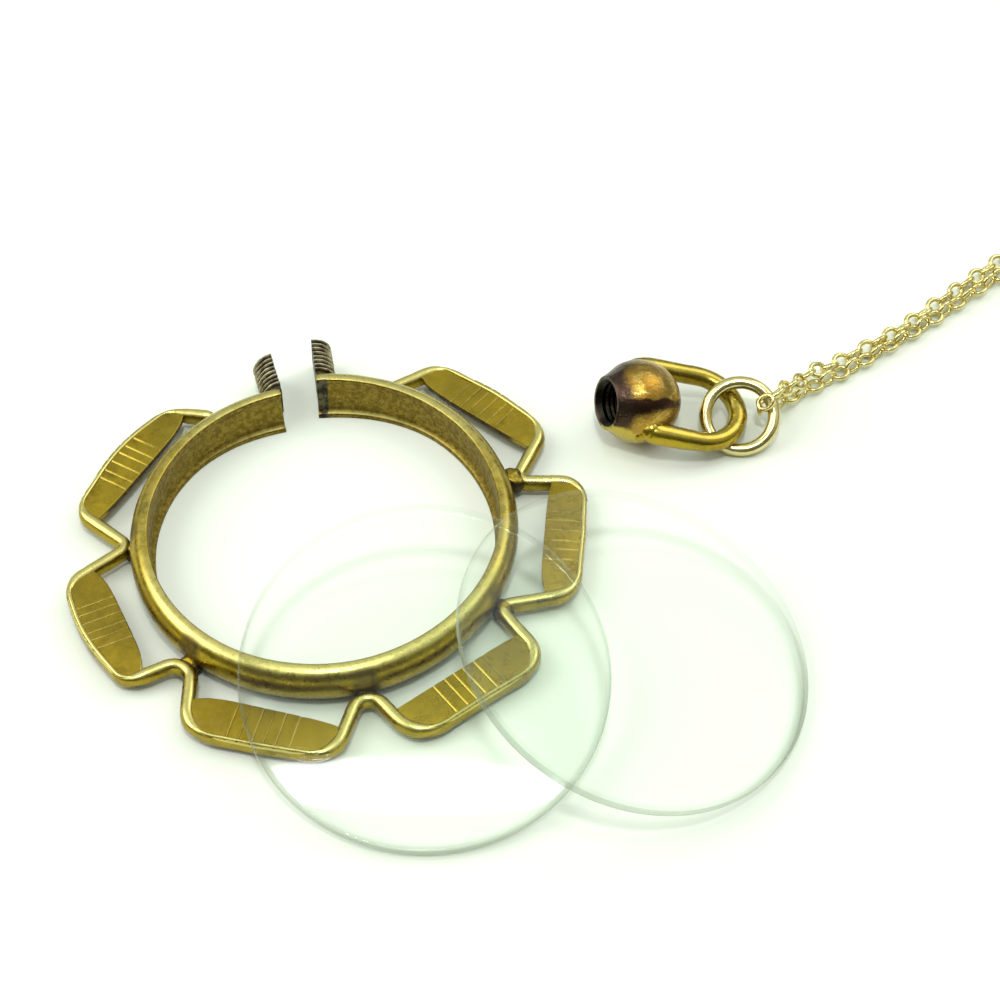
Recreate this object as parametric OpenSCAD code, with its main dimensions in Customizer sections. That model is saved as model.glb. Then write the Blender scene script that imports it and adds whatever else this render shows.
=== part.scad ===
// Glass locket, taken apart and laid out: a sprung bezel ring with a folded
// ribbon border and two half-round threaded posts, its two clear glasses, the
// ball that screws over the posts, a jump ring and a fine cable chain.
// Origin: centre of the bezel ring, on the surface that everything lies on.

/* [Bezel ring] */
// Inner radius of the ring at its lips, as it stands sprung open
lip_r = 13.4; // [12.8:0.1:14.2]
// Width of the half-round band, from its lip to the outside of its bead
band_w = 1.6; // [1.2:0.1:2]
// How far the band leans outward from its bottom to its top
band_lean = 0.3; // [0:0.1:0.6]
// Height of the ring
ring_h = 3.6; // [3:0.1:4.5]
// Depth of the channel that holds the glasses
channel_depth = 0.5; // [0.3:0.05:0.8]
// Direction of the ring's right-hand end, in degrees
end_right = 95; // [90:1:99]
// Direction of the ring's left-hand end, in degrees
end_left = 108; // [105:1:114]

/* [Threaded posts] */
// Crest radius of the thread when both halves are closed
post_r = 1.5; // [1.3:0.05:1.6]
// Distance between thread ridges
thread_pitch = 0.5; // [0.4:0.05:0.7]
// Depth of the thread
thread_depth = 0.2; // [0.1:0.05:0.3]
// Distance of the left post's tip from the middle of its end of the ring
post_tip_left = 18.0; // [17:0.1:18.5]
// Distance of the right post's tip from the middle of its end of the ring
post_tip_right = 17.8; // [17:0.1:19]

/* [Ribbon border] */
// Thickness of the ribbon
ribbon_t = 0.55; // [0.4:0.05:0.8]
// Height of the ribbon round a lobe
lobe_h = 1.1; // [0.8:0.1:1.5]
// Height of the ribbon where it stands on edge in a valley
valley_h = 1.8; // [1.4:0.1:2.2]
// Height of the lobes' flat upper face above the surface
lobe_top = 1.6; // [1.3:0.1:2]
// Thickness of a lobe's plate
plate_t = 0.6; // [0.4:0.1:0.8]
// Depth of the six bright cuts across a lobe
cut_depth = 0.15; // [0.1:0.05:0.25]

/* [Glasses] */
// Radius of a glass
glass_r = 13.3; // [12.9:0.1:13.5]
// Thickness of a glass
glass_t = 0.9; // [0.7:0.1:1.2]

/* [Ball cap] */
// Radius of the ball
ball_r = 3.3; // [3:0.1:3.5]
// Radius of the bore that takes the posts
socket_r = 1.55; // [1.45:0.05:1.8]
// Depth of the bore from its mouth
socket_depth = 4.2; // [3:0.1:4.5]
// Radius of the bore's countersunk mouth
mouth_r = 1.9; // [1.7:0.05:2.0]
// Outer radius of the collar round the mouth
collar_r = 2.15; // [2.05:0.05:2.4]
// Radius of the bail's wire
bail_wire_r = 0.75; // [0.5:0.05:0.8]
// Radius of the bail's bend, at the middle of the wire
bail_bend_r = 3.35; // [3:0.05:3.6]

/* [Jump ring] */
// Radius of the jump ring, at the middle of the wire
jump_r = 2.7; // [2.5:0.05:3.2]
// Radius of the jump ring's wire
jump_wire_r = 0.39; // [0.3:0.01:0.45]

/* [Chain] */
// Outer diameter of the chain
chain_d = 0.95; // [0.8:0.05:0.95]
// Length of the clasp's barrel
clasp_l = 8; // [6:0.5:12]
// Radius of the clasp's barrel
clasp_r = 1.3; // [1.1:0.1:2]

/* [Hidden] */
$fn = 96;

lip_w = 0.3;
mid_z = ring_h / 2;
channel_edge = 0.45;

// The sprung ring is five arcs that run into one another. One row an arc: the
// direction that it starts in and how much wider it is than the lip radius
START = 0;
WIDER = 1;
arcs = [
    [end_left, -0.3],
    [150, 0.2],
    [215, -0.6],
    [305, 0.7],
    [395, -0.2],
];
arc_count = len(arcs);
first_centre = [-0.17, -0.11];
bead_r = lip_r + band_w;

// One row a lobe: direction of the valley before it, how far its two shoulders
// stand from their valleys, its outer radius and its inner edge's distance
VALLEY = 0;
SHOULDER_IN = 1;
SHOULDER_OUT = 2;
OUTER = 3;
INNER = 4;
lobes = [
    [-230, 8, 7.5, 19.0, 15.7],
    [-174.5, 6, 5, 19.6, 16.3],
    [-127.5, 7, 6.5, 19.9, 16.5],
    [-77, 7.5, 6, 19.7, 16.1],
    [-26.5, 8, 6.5, 19.7, 16.1],
    [23, 6.5, 6, 19.3, 16.2],
];
last_valley = 73;
lobe_count = len(lobes);

valley_corner_r = 14.2;
valley_fillet = 0.75;
shoulder_fillet = 1.6;
outer_fillet = 15;
free_end_r = 15.1;
plate_fillet = 1.2;
inner_fillet = 0.4;
arc_steps = 6;
cut_count = 6;
cut_pitch = 0.72;
ribbon_bottom = lobe_top - lobe_h;
valley_bottom = 0.15;
valley_wall_t = ribbon_t + 0.06;
solder_r = 0.75;

// Where each glass lies: the surface carries its lowest edge, and it climbs
// by its slope in the direction given
front_place = [7.78, -14.49];
front_uphill = 97;
front_tilt = 14.3;
back_place = [22.64, -12.53];
back_uphill = 167;
back_tilt = 18.2;
glass_bevel = 0.18;
rest_gap = 0.02;

ball_place = [23.76, 12.28, ball_r];
collar_end = 2.84;
socket_yaw = 199;
socket_pitch = 15.5;
bail_offset = [0, 0.35, 0.1];
bail_yaw = -1.5;
bail_droop = 13;
bail_roll = 2;
bail_centre = 4.75;
near_foot = 0.9;
far_foot = 0.1;

clasp_place = [184.5, 66];
clasp_turn = 96;
eye_r = 0.75;
eye_wire_r = 0.25;

jump_lean = 31;
jump_facing = -98;
jump_place = [31.78, 12.12, jump_wire_r + rest_gap + jump_r * sin(jump_lean)];

function polar(r, a) = [r * cos(a), r * sin(a)];
function unit(v) = v / norm(v);
function next_valley(i) = i + 1 < lobe_count ? lobes[i + 1][VALLEY] : last_valley;

// Points of an arc of radius r that rounds the corner q between p and s
function corner(p, q, s, r, steps = arc_steps) =
    let(
        back = unit(p - q),
        ahead = unit(s - q),
        half = acos(back * ahead) / 2,
        centre = q + unit(back + ahead) * r / sin(half),
        first = q + back * r / tan(half) - centre,
        last = q + ahead * r / tan(half) - centre,
        a0 = atan2(first.y, first.x),
        turn = (atan2(last.y, last.x) - a0 + 540) % 360 - 180
    )
    [for (i = [0 : steps]) centre + polar(r, a0 + turn * i / steps)];

// The control points of a lobe: first shoulder, crown, second shoulder
function lobe_corners(i) =
    let(row = lobes[i], a0 = row[VALLEY], a1 = next_valley(i))
    [
        polar(row[OUTER] - 0.4, a0 + row[SHOULDER_IN]),
        polar(row[OUTER] + 0.25, (a0 + row[SHOULDER_IN] + a1 - row[SHOULDER_OUT]) / 2),
        polar(row[OUTER] - 0.4, a1 - row[SHOULDER_OUT])
    ];
function valley_point(i) =
    i == 0 ? polar(free_end_r, lobes[0][VALLEY])
    : i == lobe_count ? polar(free_end_r, last_valley)
    : polar(valley_corner_r, lobes[i][VALLEY]);

// Middle line of the ribbon round one lobe, from valley to valley
function lobe_line(i) =
    let(c = lobe_corners(i), v0 = valley_point(i), v1 = valley_point(i + 1))
    concat(
        corner(v0, c[0], c[1], shoulder_fillet),
        corner(c[0], c[1], c[2], outer_fillet),
        corner(c[1], c[2], v1, shoulder_fillet)
    );
function valley_line(i) =
    corner(lobe_corners(i - 1)[2], valley_point(i), lobe_corners(i)[0], valley_fillet);
ribbon_line = concat(
    [valley_point(0)],
    [for (i = [0 : lobe_count - 1]) each concat(i == 0 ? [] : valley_line(i), lobe_line(i))],
    [valley_point(lobe_count)]
);

// A strip of thickness t along a line of points
function strip_side(line, t) = [
    for (i = [0 : len(line) - 1])
        let(
            before = line[max(i - 1, 0)],
            after = line[min(i + 1, len(line) - 1)],
            along = unit(after - before)
        )
        line[i] + t / 2 * [-along.y, along.x]
];
module strip(line, t, h) {
    near_side = strip_side(line, t);
    far_side = strip_side(line, -t);
    last = len(line) - 1;
    linear_extrude(h)
        polygon(concat(near_side, [for (i = [last : -1 : 0]) far_side[i]]));
}

function arc_lip(i) = lip_r + arcs[i][WIDER];
function arc_end(i) = i + 1 < arc_count ? arcs[i + 1][START] : end_right + 360;
function arc_centre(i) =
    i == 0 ? first_centre
    : arc_centre(i - 1) + polar(arc_lip(i - 1) - arc_lip(i), arcs[i][START]);

// Section of the band: a half-round bead outside and a channel inside
function leaned(p) = [p.x + band_lean * (p.y / ring_h - 1), p.y];
function ring_profile(lip) = [
    for (p = concat(
        [for (a = [-90 : 10 : 90])
            [lip + lip_w + (band_w - lip_w) * cos(a), mid_z + mid_z * sin(a)]],
        [[lip, ring_h]],
        [for (a = [90 : -15 : -90])
            [lip + channel_depth * cos(a), mid_z + (mid_z - channel_edge) * sin(a)]],
        [[lip, 0]]
    ))
    leaned(p)
];

module ring_band() {
    for (i = [0 : arc_count - 1])
        translate(arc_centre(i))
            rotate([0, 0, arcs[i][START]])
                rotate_extrude(angle = arc_end(i) - arcs[i][START])
                    polygon(ring_profile(arc_lip(i)));
}

// A lobe's flat plate, straight along its inner edge and cut across six times
function lobe_middle(i) = (lobes[i][VALLEY] + next_valley(i)) / 2;
function plate_outline(i) =
    let(
        c = lobe_corners(i),
        inward = polar(1, lobe_middle(i)),
        sideways = polar(1, lobe_middle(i) + 90),
        inner = lobes[i][INNER],
        foot = [for (k = [0, 2]) inner * inward + c[k] * sideways * 0.93 * sideways]
    )
    concat(
        corner(foot[1], foot[0], c[0], inner_fillet, 4),
        corner(foot[0], c[0], c[1], plate_fillet),
        corner(c[0], c[1], c[2], outer_fillet),
        corner(c[1], c[2], foot[1], plate_fillet),
        corner(c[2], foot[1], foot[0], inner_fillet, 4)
    );
module lobe_plate(i) {
    difference() {
        translate([0, 0, lobe_top - plate_t])
            linear_extrude(plate_t)
                polygon(plate_outline(i));
        for (k = [0 : cut_count - 1])
            rotate([0, 0, lobe_middle(i)])
                translate([lobes[i][INNER] - 1, (k - (cut_count - 1) / 2) * cut_pitch, lobe_top])
                    rotate([90, 0, 90])
                        linear_extrude(5.5)
                            polygon([
                                [-cut_depth, 0.05],
                                [0, -cut_depth],
                                [cut_depth, 0.05]
                            ]);
    }
}

// The ribbon standing on edge at a valley, with the solder that holds it
module valley_wall(line, solder_a) {
    translate([0, 0, valley_bottom])
        strip(line, valley_wall_t, valley_h);
    rotate([0, 0, solder_a])
        translate([bead_r - 0.1, 0, valley_bottom + 0.2])
            cylinder(r = solder_r, h = valley_h - 0.4);
}

module border() {
    translate([0, 0, ribbon_bottom])
        strip(ribbon_line, ribbon_t, lobe_h);
    for (i = [0 : lobe_count - 1])
        lobe_plate(i);
    for (i = [1 : lobe_count - 1])
        valley_wall(valley_line(i), lobes[i][VALLEY]);
    for (a = [lobes[0][VALLEY], last_valley])
        rotate([0, 0, a])
            translate([bead_r - 0.1, 0, valley_bottom + 0.2])
                cylinder(r = solder_r, h = valley_h - 0.4);
}

// Half of the threaded stud, on the side of the ring that side points to
module post(centre, a, side, tip, foot) {
    turns = floor((tip - bead_r - 0.3) / thread_pitch);
    shank = tip - turns * thread_pitch;
    core_r = post_r - thread_depth;
    ridges = [
        for (k = [0 : turns - 1], part = [0.5, 1])
            [
                part == 0.5 ? post_r : k == turns - 1 ? core_r - 0.15 : core_r,
                shank + (k + part) * thread_pitch
            ]
    ];
    profile = concat([[0, foot], [core_r, foot], [core_r, shank]], ridges, [[0, tip]]);
    translate([centre.x, centre.y, mid_z])
        rotate([0, 0, a])
            rotate([0, 90, 0])
                intersection() {
                    rotate_extrude()
                        polygon(profile);
                    translate([-2, side > 0 ? 0 : -2, 0])
                        cube([4, 2, 30]);
                }
}

module bezel_frame() {
    color("#a8923a") {
        ring_band();
        border();
        post(arc_centre(0), end_left, 1, post_tip_left, arc_lip(0) + 0.1);
        post(arc_centre(arc_count - 1), end_right, -1, post_tip_right, arc_lip(arc_count - 1) + 0.1);
    }
}

// A round glass with bevelled edges, lying with its lowest edge on the surface
module glass(place, uphill, tilt) {
    b = glass_bevel;
    translate([place.x, place.y, glass_r * sin(tilt) + rest_gap])
        rotate([0, 0, uphill])
            rotate([0, -tilt, 0])
                rotate_extrude()
                    polygon([
                        [0, 0], [glass_r - b, 0], [glass_r, b],
                        [glass_r, glass_t - b], [glass_r - b, glass_t], [0, glass_t]
                    ]);
}
module front_glass() {
    color("#cfe3d4", 0.4) glass(front_place, front_uphill, front_tilt);
}
module back_glass() {
    color("#cfe3d4", 0.4) glass(back_place, back_uphill, back_tilt);
}

// The bail is a U of wire, with its feet soldered to the sides of the ball
module bail() {
    translate(bail_offset)
        rotate([0, 0, bail_yaw])
            rotate([bail_roll, bail_droop, 0]) {
                translate([bail_centre, 0, 0])
                    rotate([0, 0, -90])
                        rotate_extrude(angle = 180)
                            translate([bail_bend_r, 0])
                                circle(r = bail_wire_r);
                for (leg = [[near_foot, -1], [far_foot, 1]])
                    translate([leg[0], leg[1] * bail_bend_r, 0])
                        rotate([0, 90, 0])
                            cylinder(r = bail_wire_r, h = bail_centre - leg[0]);
            }
}
module ball_cap() {
    sink = mouth_r - socket_r;
    color("#a8742c")
        translate(ball_place)
            difference() {
                union() {
                    sphere(r = ball_r);
                    bail();
                    rotate([0, 90 - socket_pitch, socket_yaw])
                        translate([0, 0, collar_end - 1.5])
                            cylinder(r = collar_r, h = 1.5);
                }
                rotate([0, 90 - socket_pitch, socket_yaw]) {
                    translate([0, 0, collar_end - socket_depth])
                        cylinder(r = socket_r, h = socket_depth + 1);
                    translate([0, 0, collar_end - sink])
                        cylinder(r1 = socket_r, r2 = mouth_r + 1, h = sink + 1);
                }
            }
}

module jump_ring() {
    color("#d8cb84")
        translate(jump_place)
            rotate([0, 0, jump_facing])
                rotate([0, jump_lean, 0])
                    rotate_extrude()
                        translate([jump_r, 0])
                            circle(r = jump_wire_r);
}

// Route of the chain, from the upper end of the clasp round its open loop to
// the jump ring, round the jump ring's wire, and back to the clasp's lower end
floor_z = chain_d / 2 + rest_gap;
route = [
    [183.9, 71.9, floor_z],
    [181, 82, floor_z],
    [168, 93, floor_z],
    [149, 101, floor_z],
    [128, 102, floor_z],
    [109, 97, floor_z],
    [92, 86, floor_z],
    [80, 72, floor_z],
    [73.5, 56, floor_z],
    [68.5, 44, floor_z],
    [61.9, 37.6, floor_z],
    [50.6, 27.8, floor_z],
    [45, 22.8, floor_z],
    [40.9, 20, 0.55],
    [39.5, 18.9, 0.8],
    [37.9, 17.5, 1.3],
    [36.8, 16, 1.8],
    [35.8, 14.7, 2.6],
    [34.9, 13.5, 3.4],
    [34.1, 12.6, 3.4],
    [33.5, 12.5, 2.9],
    [33.3, 12.8, 2.3],
    [33.5, 13.3, 1.7],
    [34.3, 13.7, 1.6],
    [35.3, 14.5, 1.1],
    [36.4, 15.4, 0.7],
    [38.6, 17, floor_z],
    [41.6, 19, floor_z],
    [45.6, 22, floor_z],
    [51.4, 26.8, floor_z],
    [63, 36.2, floor_z],
    [71, 39, floor_z],
    [79, 37, floor_z],
    [90, 28, floor_z],
    [105, 19, floor_z],
    [126, 15, floor_z],
    [147, 17, floor_z],
    [166, 24.5, floor_z],
    [181, 42, floor_z],
    [185.1, 60.1, floor_z],
];
tube_steps = 2;

// A smooth curve through the points of a route
function smooth(p, i, t) =
    let(
        a = p[max(i - 1, 0)],
        b = p[i],
        c = p[i + 1],
        d = p[min(i + 2, len(p) - 1)]
    )
    (2 * b + (c - a) * t + (2 * a - 5 * b + 4 * c - d) * t * t
        + (3 * b - a - 3 * c + d) * t * t * t) / 2;
chain_line = concat(
    [for (i = [0 : len(route) - 2], k = [0 : tube_steps - 1]) smooth(route, i, k / tube_steps)],
    [route[len(route) - 1]]
);

module tube(line, r, sides) {
    count = len(line);
    along = [for (i = [0 : count - 1]) unit(line[min(i + 1, count - 1)] - line[max(i - 1, 0)])];
    across = [
        for (i = 0, s = unit(cross(along[0], [0, 0, 1]));
            i < count;
            i = i + 1, s = i < count ? unit(s - (s * along[i]) * along[i]) : s)
            s
    ];
    points = [
        for (i = [0 : count - 1], k = [0 : sides - 1])
            line[i] + r * cos((k + 0.5) * 360 / sides) * across[i]
                + r * sin((k + 0.5) * 360 / sides) * cross(along[i], across[i])
    ];
    walls = [
        for (i = [0 : count - 2], k = [0 : sides - 1])
            [
                (i + 1) * sides + k, (i + 1) * sides + (k + 1) % sides,
                i * sides + (k + 1) % sides, i * sides + k
            ]
    ];
    ends = [
        [for (k = [0 : sides - 1]) k],
        [for (k = [sides - 1 : -1 : 0]) (count - 1) * sides + k]
    ];
    polyhedron(points, concat(walls, ends), convexity = 10);
}
module chain() {
    color("#d9cc85")
        tube(chain_line, chain_d / 2, 8);
}

// A plain barrel clasp, shut, with a flat eye at each end
module clasp() {
    color("#d9cc85")
        translate([clasp_place.x, clasp_place.y, 0])
            rotate([0, 0, clasp_turn]) {
                translate([-clasp_l / 2, 0, clasp_r + rest_gap])
                    rotate([0, 90, 0])
                        rotate_extrude()
                            polygon([
                                [0, 0], [clasp_r - 0.3, 0], [clasp_r, 0.3],
                                [clasp_r, clasp_l - 0.3], [clasp_r - 0.3, clasp_l], [0, clasp_l]
                            ]);
                for (end = [-1, 1])
                    translate([end * (clasp_l / 2 + eye_r), 0, floor_z])
                        rotate_extrude()
                            translate([eye_r, 0])
                                circle(r = eye_wire_r);
            }
}

bezel_frame();
front_glass();
back_glass();
ball_cap();
jump_ring();
chain();
clasp();
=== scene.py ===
import bpy
import math
from mathutils import Matrix, Vector


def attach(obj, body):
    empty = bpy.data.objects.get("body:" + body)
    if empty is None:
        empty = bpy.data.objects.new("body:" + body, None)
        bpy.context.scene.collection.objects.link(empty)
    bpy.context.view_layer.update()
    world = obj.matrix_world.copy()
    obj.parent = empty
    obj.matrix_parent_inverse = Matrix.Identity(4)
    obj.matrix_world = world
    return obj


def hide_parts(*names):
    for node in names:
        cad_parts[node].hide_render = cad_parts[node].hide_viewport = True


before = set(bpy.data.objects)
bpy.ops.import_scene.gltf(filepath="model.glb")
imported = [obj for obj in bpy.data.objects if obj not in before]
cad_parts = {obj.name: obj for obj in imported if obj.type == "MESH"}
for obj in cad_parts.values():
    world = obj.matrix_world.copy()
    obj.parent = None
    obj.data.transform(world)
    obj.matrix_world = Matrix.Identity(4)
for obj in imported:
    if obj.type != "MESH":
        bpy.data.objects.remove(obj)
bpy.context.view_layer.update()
print("frame loaded")

# Every piece is modelled in millimetres and brought to metres by settle().
mmPerMetre = 1000
floorGap = 0.02
weldGap = 0.0005


def rad(a):
    return math.radians(a)


def polar(r, a, z=0.0):
    return Vector((r * math.cos(rad(a)), r * math.sin(rad(a)), z))


def turned(a, axis):
    return Matrix.Rotation(rad(a), 4, axis)


def editMode(on=True):
    bpy.ops.object.mode_set(mode="EDIT" if on else "OBJECT")


def selectAll():
    bpy.ops.mesh.select_all(action="SELECT")


def deselectAll():
    if bpy.context.mode != "OBJECT":
        editMode(False)
    bpy.ops.object.select_all(action="DESELECT")


def pick(*obs):
    deselectAll()
    for ob in obs:
        ob.select_set(True)
    bpy.context.view_layer.objects.active = obs[0]


def named(name):
    ob = bpy.context.active_object
    ob.name = name
    ob.data.name = name
    return ob


def link(ob):
    bpy.context.collection.objects.link(ob)


def useModifier(ob, kind, **values):
    pick(ob)
    mod = ob.modifiers.new(kind.lower(), kind)
    for key, value in values.items():
        setattr(mod, key, value)
    bpy.ops.object.modifier_apply(modifier=mod.name)


def lumps(ob, size, depth, detail=2):
    # an uneven, hand-worked surface: how wide and how deep its lumps are
    tex = bpy.data.textures.new("lumps", "CLOUDS")
    tex.noise_scale = size
    tex.noise_depth = detail
    useModifier(ob, "DISPLACE", texture=tex, strength=depth, mid_level=0.5, texture_coords="LOCAL")


def drawLine(name, points, close=True):
    # a plane shrunk to one vertex, then pulled out point by point
    deselectAll()
    bpy.ops.mesh.primitive_plane_add(size=1)
    ob = named(name)
    bpy.context.tool_settings.mesh_select_mode = (True, False, False)
    editMode()
    bpy.ops.mesh.merge(type="CENTER")
    bpy.ops.transform.translate(value=points[0])
    for a, b in zip(points, points[1:]):
        bpy.ops.mesh.extrude_region_move(TRANSFORM_OT_translate={"value": b - a})
    if close:
        editMode(False)
        for v in ob.data.vertices:
            v.select = v.index in (0, len(points) - 1)
        editMode()
        bpy.ops.mesh.edge_face_add()
    selectAll()
    return ob


def cleanUp(ob, closeHoles=False):
    pick(ob)
    editMode()
    selectAll()
    bpy.ops.mesh.remove_doubles(threshold=weldGap)
    if closeHoles:
        bpy.ops.mesh.fill_holes(sides=0)
    selectAll()
    bpy.ops.mesh.normals_make_consistent(inside=False)
    editMode(False)


def blob(name, spot, size):
    deselectAll()
    bpy.ops.mesh.primitive_ico_sphere_add(subdivisions=4, radius=size, location=spot)
    return named(name)


def joinUp(name, obs):
    pick(*obs)
    bpy.ops.object.join()
    return named(name)


def place(ob, spot, turn):
    # turns a piece about the origin, moves it, and leaves that in its mesh
    ob.matrix_world = Matrix.Translation(spot) @ turn
    pick(ob)
    bpy.ops.object.transform_apply()


def settle(ob, smooth):
    # leaves a finished mesh in metres, smooth up to an angle
    pick(ob)
    bpy.ops.object.transform_apply()
    for v in ob.data.vertices:      # nothing goes through the floor
        v.co.z = max(v.co.z, floorGap)
    ob.scale = [1 / mmPerMetre] * 3
    bpy.ops.object.transform_apply()
    bpy.ops.object.shade_smooth_by_angle(angle=rad(smooth))


def paint(ob, name, rule):
    # one number a vertex, from its place in millimetres and its normal
    layer = ob.data.attributes.new(name, "FLOAT", "POINT")
    normals = [v.vector.copy() for v in ob.data.vertex_normals]
    values = [rule(v.co * mmPerMetre, n) for v, n in zip(ob.data.vertices, normals)]
    layer.data.foreach_set("value", values)


def fade(x, low, high):
    # 0 below low, 1 above high, smooth between
    t = min(1.0, max(0.0, (x - low) / (high - low)))
    return t * t * (3 - 2 * t)


def sweep(name, points, section, radii=None):
    # a section carried along a path, as a curve that becomes a mesh with closed ends
    deselectAll()
    shape = bpy.data.curves.new("section", "CURVE")
    shape.dimensions = "2D"
    line = shape.splines.new("POLY")
    line.points.add(len(section) - 1)
    for p, (x, y) in zip(line.points, section):
        p.co = (x, y, 0, 1)
    line.use_cyclic_u = True
    shapeOb = bpy.data.objects.new("section", shape)
    link(shapeOb)
    path = bpy.data.curves.new(name, "CURVE")
    path.dimensions = "3D"
    path.twist_mode = "Z_UP"
    path.bevel_mode = "OBJECT"
    path.bevel_object = shapeOb
    path.use_fill_caps = True
    line = path.splines.new("POLY")
    line.points.add(len(points) - 1)
    for i, q in enumerate(points):
        line.points[i].co = (*q, 1)
        line.points[i].radius = radii[i] if radii else 1
    ob = bpy.data.objects.new(name, path)
    link(ob)
    pick(ob)
    bpy.ops.object.convert(target="MESH")
    bpy.data.objects.remove(shapeOb)
    ob = named(name)
    cleanUp(ob)
    return ob


def oval(width, height, count, squareness):
    # a section's outline: squareness 2 is an ellipse, and more fills its corners out
    out = []
    power = 2 / squareness
    for i in range(count):
        c, s = math.cos(2 * math.pi * i / count), math.sin(2 * math.pi * i / count)
        x = width / 2 * math.copysign(abs(c) ** power, c)
        out.append((x, height / 2 * math.copysign(abs(s) ** power, s)))
    return out


# Finishes

class Signal:
    # one output of a shader node, for sums and products with numbers and other outputs
    def __init__(self, finish, socket):
        self.finish = finish
        self.socket = socket

    def maths(self, operation, a, b):
        return self.finish.node("ShaderNodeMath", {"operation": operation}, {0: a, 1: b})

    def __add__(self, other):
        return self.maths("ADD", self, other)

    def __radd__(self, other):
        return self.maths("ADD", other, self)

    def __sub__(self, other):
        return self.maths("SUBTRACT", self, other)

    def __rsub__(self, other):
        return self.maths("SUBTRACT", other, self)

    def __mul__(self, other):
        return self.maths("MULTIPLY", self, other)

    def __rmul__(self, other):
        return self.maths("MULTIPLY", other, self)

    def __pow__(self, other):
        return self.maths("POWER", self, other)

    def over(self, low, high):
        # 0 below low, 1 above high, smooth between
        settings = {"interpolation_type": "SMOOTHSTEP", "clamp": True}
        return self.finish.node("ShaderNodeMapRange", settings, {0: self, 1: low, 2: high})


class Finish:
    # a material, or the world, with a short call for each node that it needs
    def __init__(self, name, kind="Material", place="Object"):
        self.made = (bpy.data.materials if kind == "Material" else bpy.data.worlds).new(name)
        self.made.use_nodes = True
        self.tree = self.made.node_tree
        self.tree.nodes.clear()
        self.output = self.tree.nodes.new("ShaderNodeOutput" + kind)
        self.coords = self.node("ShaderNodeTexCoord", {}, {}, place)

    def node(self, kind, settings, inputs, out=0):
        made = self.tree.nodes.new(kind)
        stops = settings.pop("stops", None)
        for key, value in settings.items():
            setattr(made, key, value)
        if stops:
            ramp = made.color_ramp.elements
            while len(ramp) < len(stops):
                ramp.new(0.5)
            for element, (spot, tone) in zip(ramp, stops):
                element.position = spot
                element.color = (*tone, 1)
        for key, value in inputs.items():
            if isinstance(value, Signal):
                self.tree.links.new(value.socket, made.inputs[key])
            else:
                made.inputs[key].default_value = value
        return Signal(self, made.outputs[out])

    def noise(self, scale, detail, roughness=0.6, stretch=None, seed=0.0):
        where = self.coords
        if stretch:
            where = self.node("ShaderNodeMapping", {}, {"Vector": where, "Scale": stretch})
        return self.node(
            "ShaderNodeTexNoise", {"noise_dimensions": "4D"},
            {"Vector": where, "W": seed, "Scale": scale, "Detail": detail, "Roughness": roughness},
        )

    def painted(self, name):
        return self.node("ShaderNodeAttribute", {"attribute_name": name}, {}, "Fac")

    def mix(self, factor, a, b):
        def tone(c):
            return c if isinstance(c, Signal) else (*c, 1)
        return self.node("ShaderNodeMix", {"data_type": "RGBA"}, {0: factor, 6: tone(a), 7: tone(b)}, 2)

    def bump(self, height, distance, strength):
        inputs = {"Height": height, "Distance": distance, "Strength": strength}
        return self.node("ShaderNodeBump", {}, inputs, "Normal")

    def surface(self, shader):
        self.tree.links.new(shader.socket, self.output.inputs["Surface"])
        return self.made

    def principled(self, **inputs):
        return self.surface(self.node(
            "ShaderNodeBsdfPrincipled", {}, {key.replace("_", " "): value for key, value in inputs.items()}
        ))


# tones, noise scales, and the range in which each noise or painted value takes hold
brassTones = dict(
    wornAndHighlight=(0.66, 0.58, 0.20),
    aged=(0.43, 0.305, 0.027),
    olive=(0.315, 0.232, 0.029),
    brown=(0.165, 0.112, 0.016),
    tan=(0.32, 0.232, 0.044),
    dark=(0.035, 0.024, 0.012),
    coreDark=(0.028, 0.024, 0.017),
    coreLight=(0.16, 0.135, 0.08),
    clouding=260, staining=430, mottle=1500, grain=7000, speckle=2600,
    cloudRange=(0.38, 0.66), stainRange=(0.52, 0.66), stainShare=0.6, speckleRange=(0.42, 0.6),
    wallRange=(0.2, 0.8), wearHighlightRange=(0.3, 0.8), grimeShadeRange=(0.25, 0.95), grimeShadeShare=0.92,
    coreRange=(0.3, 0.7), coreSpread=0.9, dullRange=(0.35, 0.7),
    # what dulls the polish and the metal, and how much the grain and the mottle stand up
    dullMottle=0.6, dullGrimeShade=0.5, dullWall=0.6, grimeShadeMetal=0.3,
    bumpGrain=0.4, bumpMottle=0.6, bumpDepth=0.00003,
)


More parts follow.
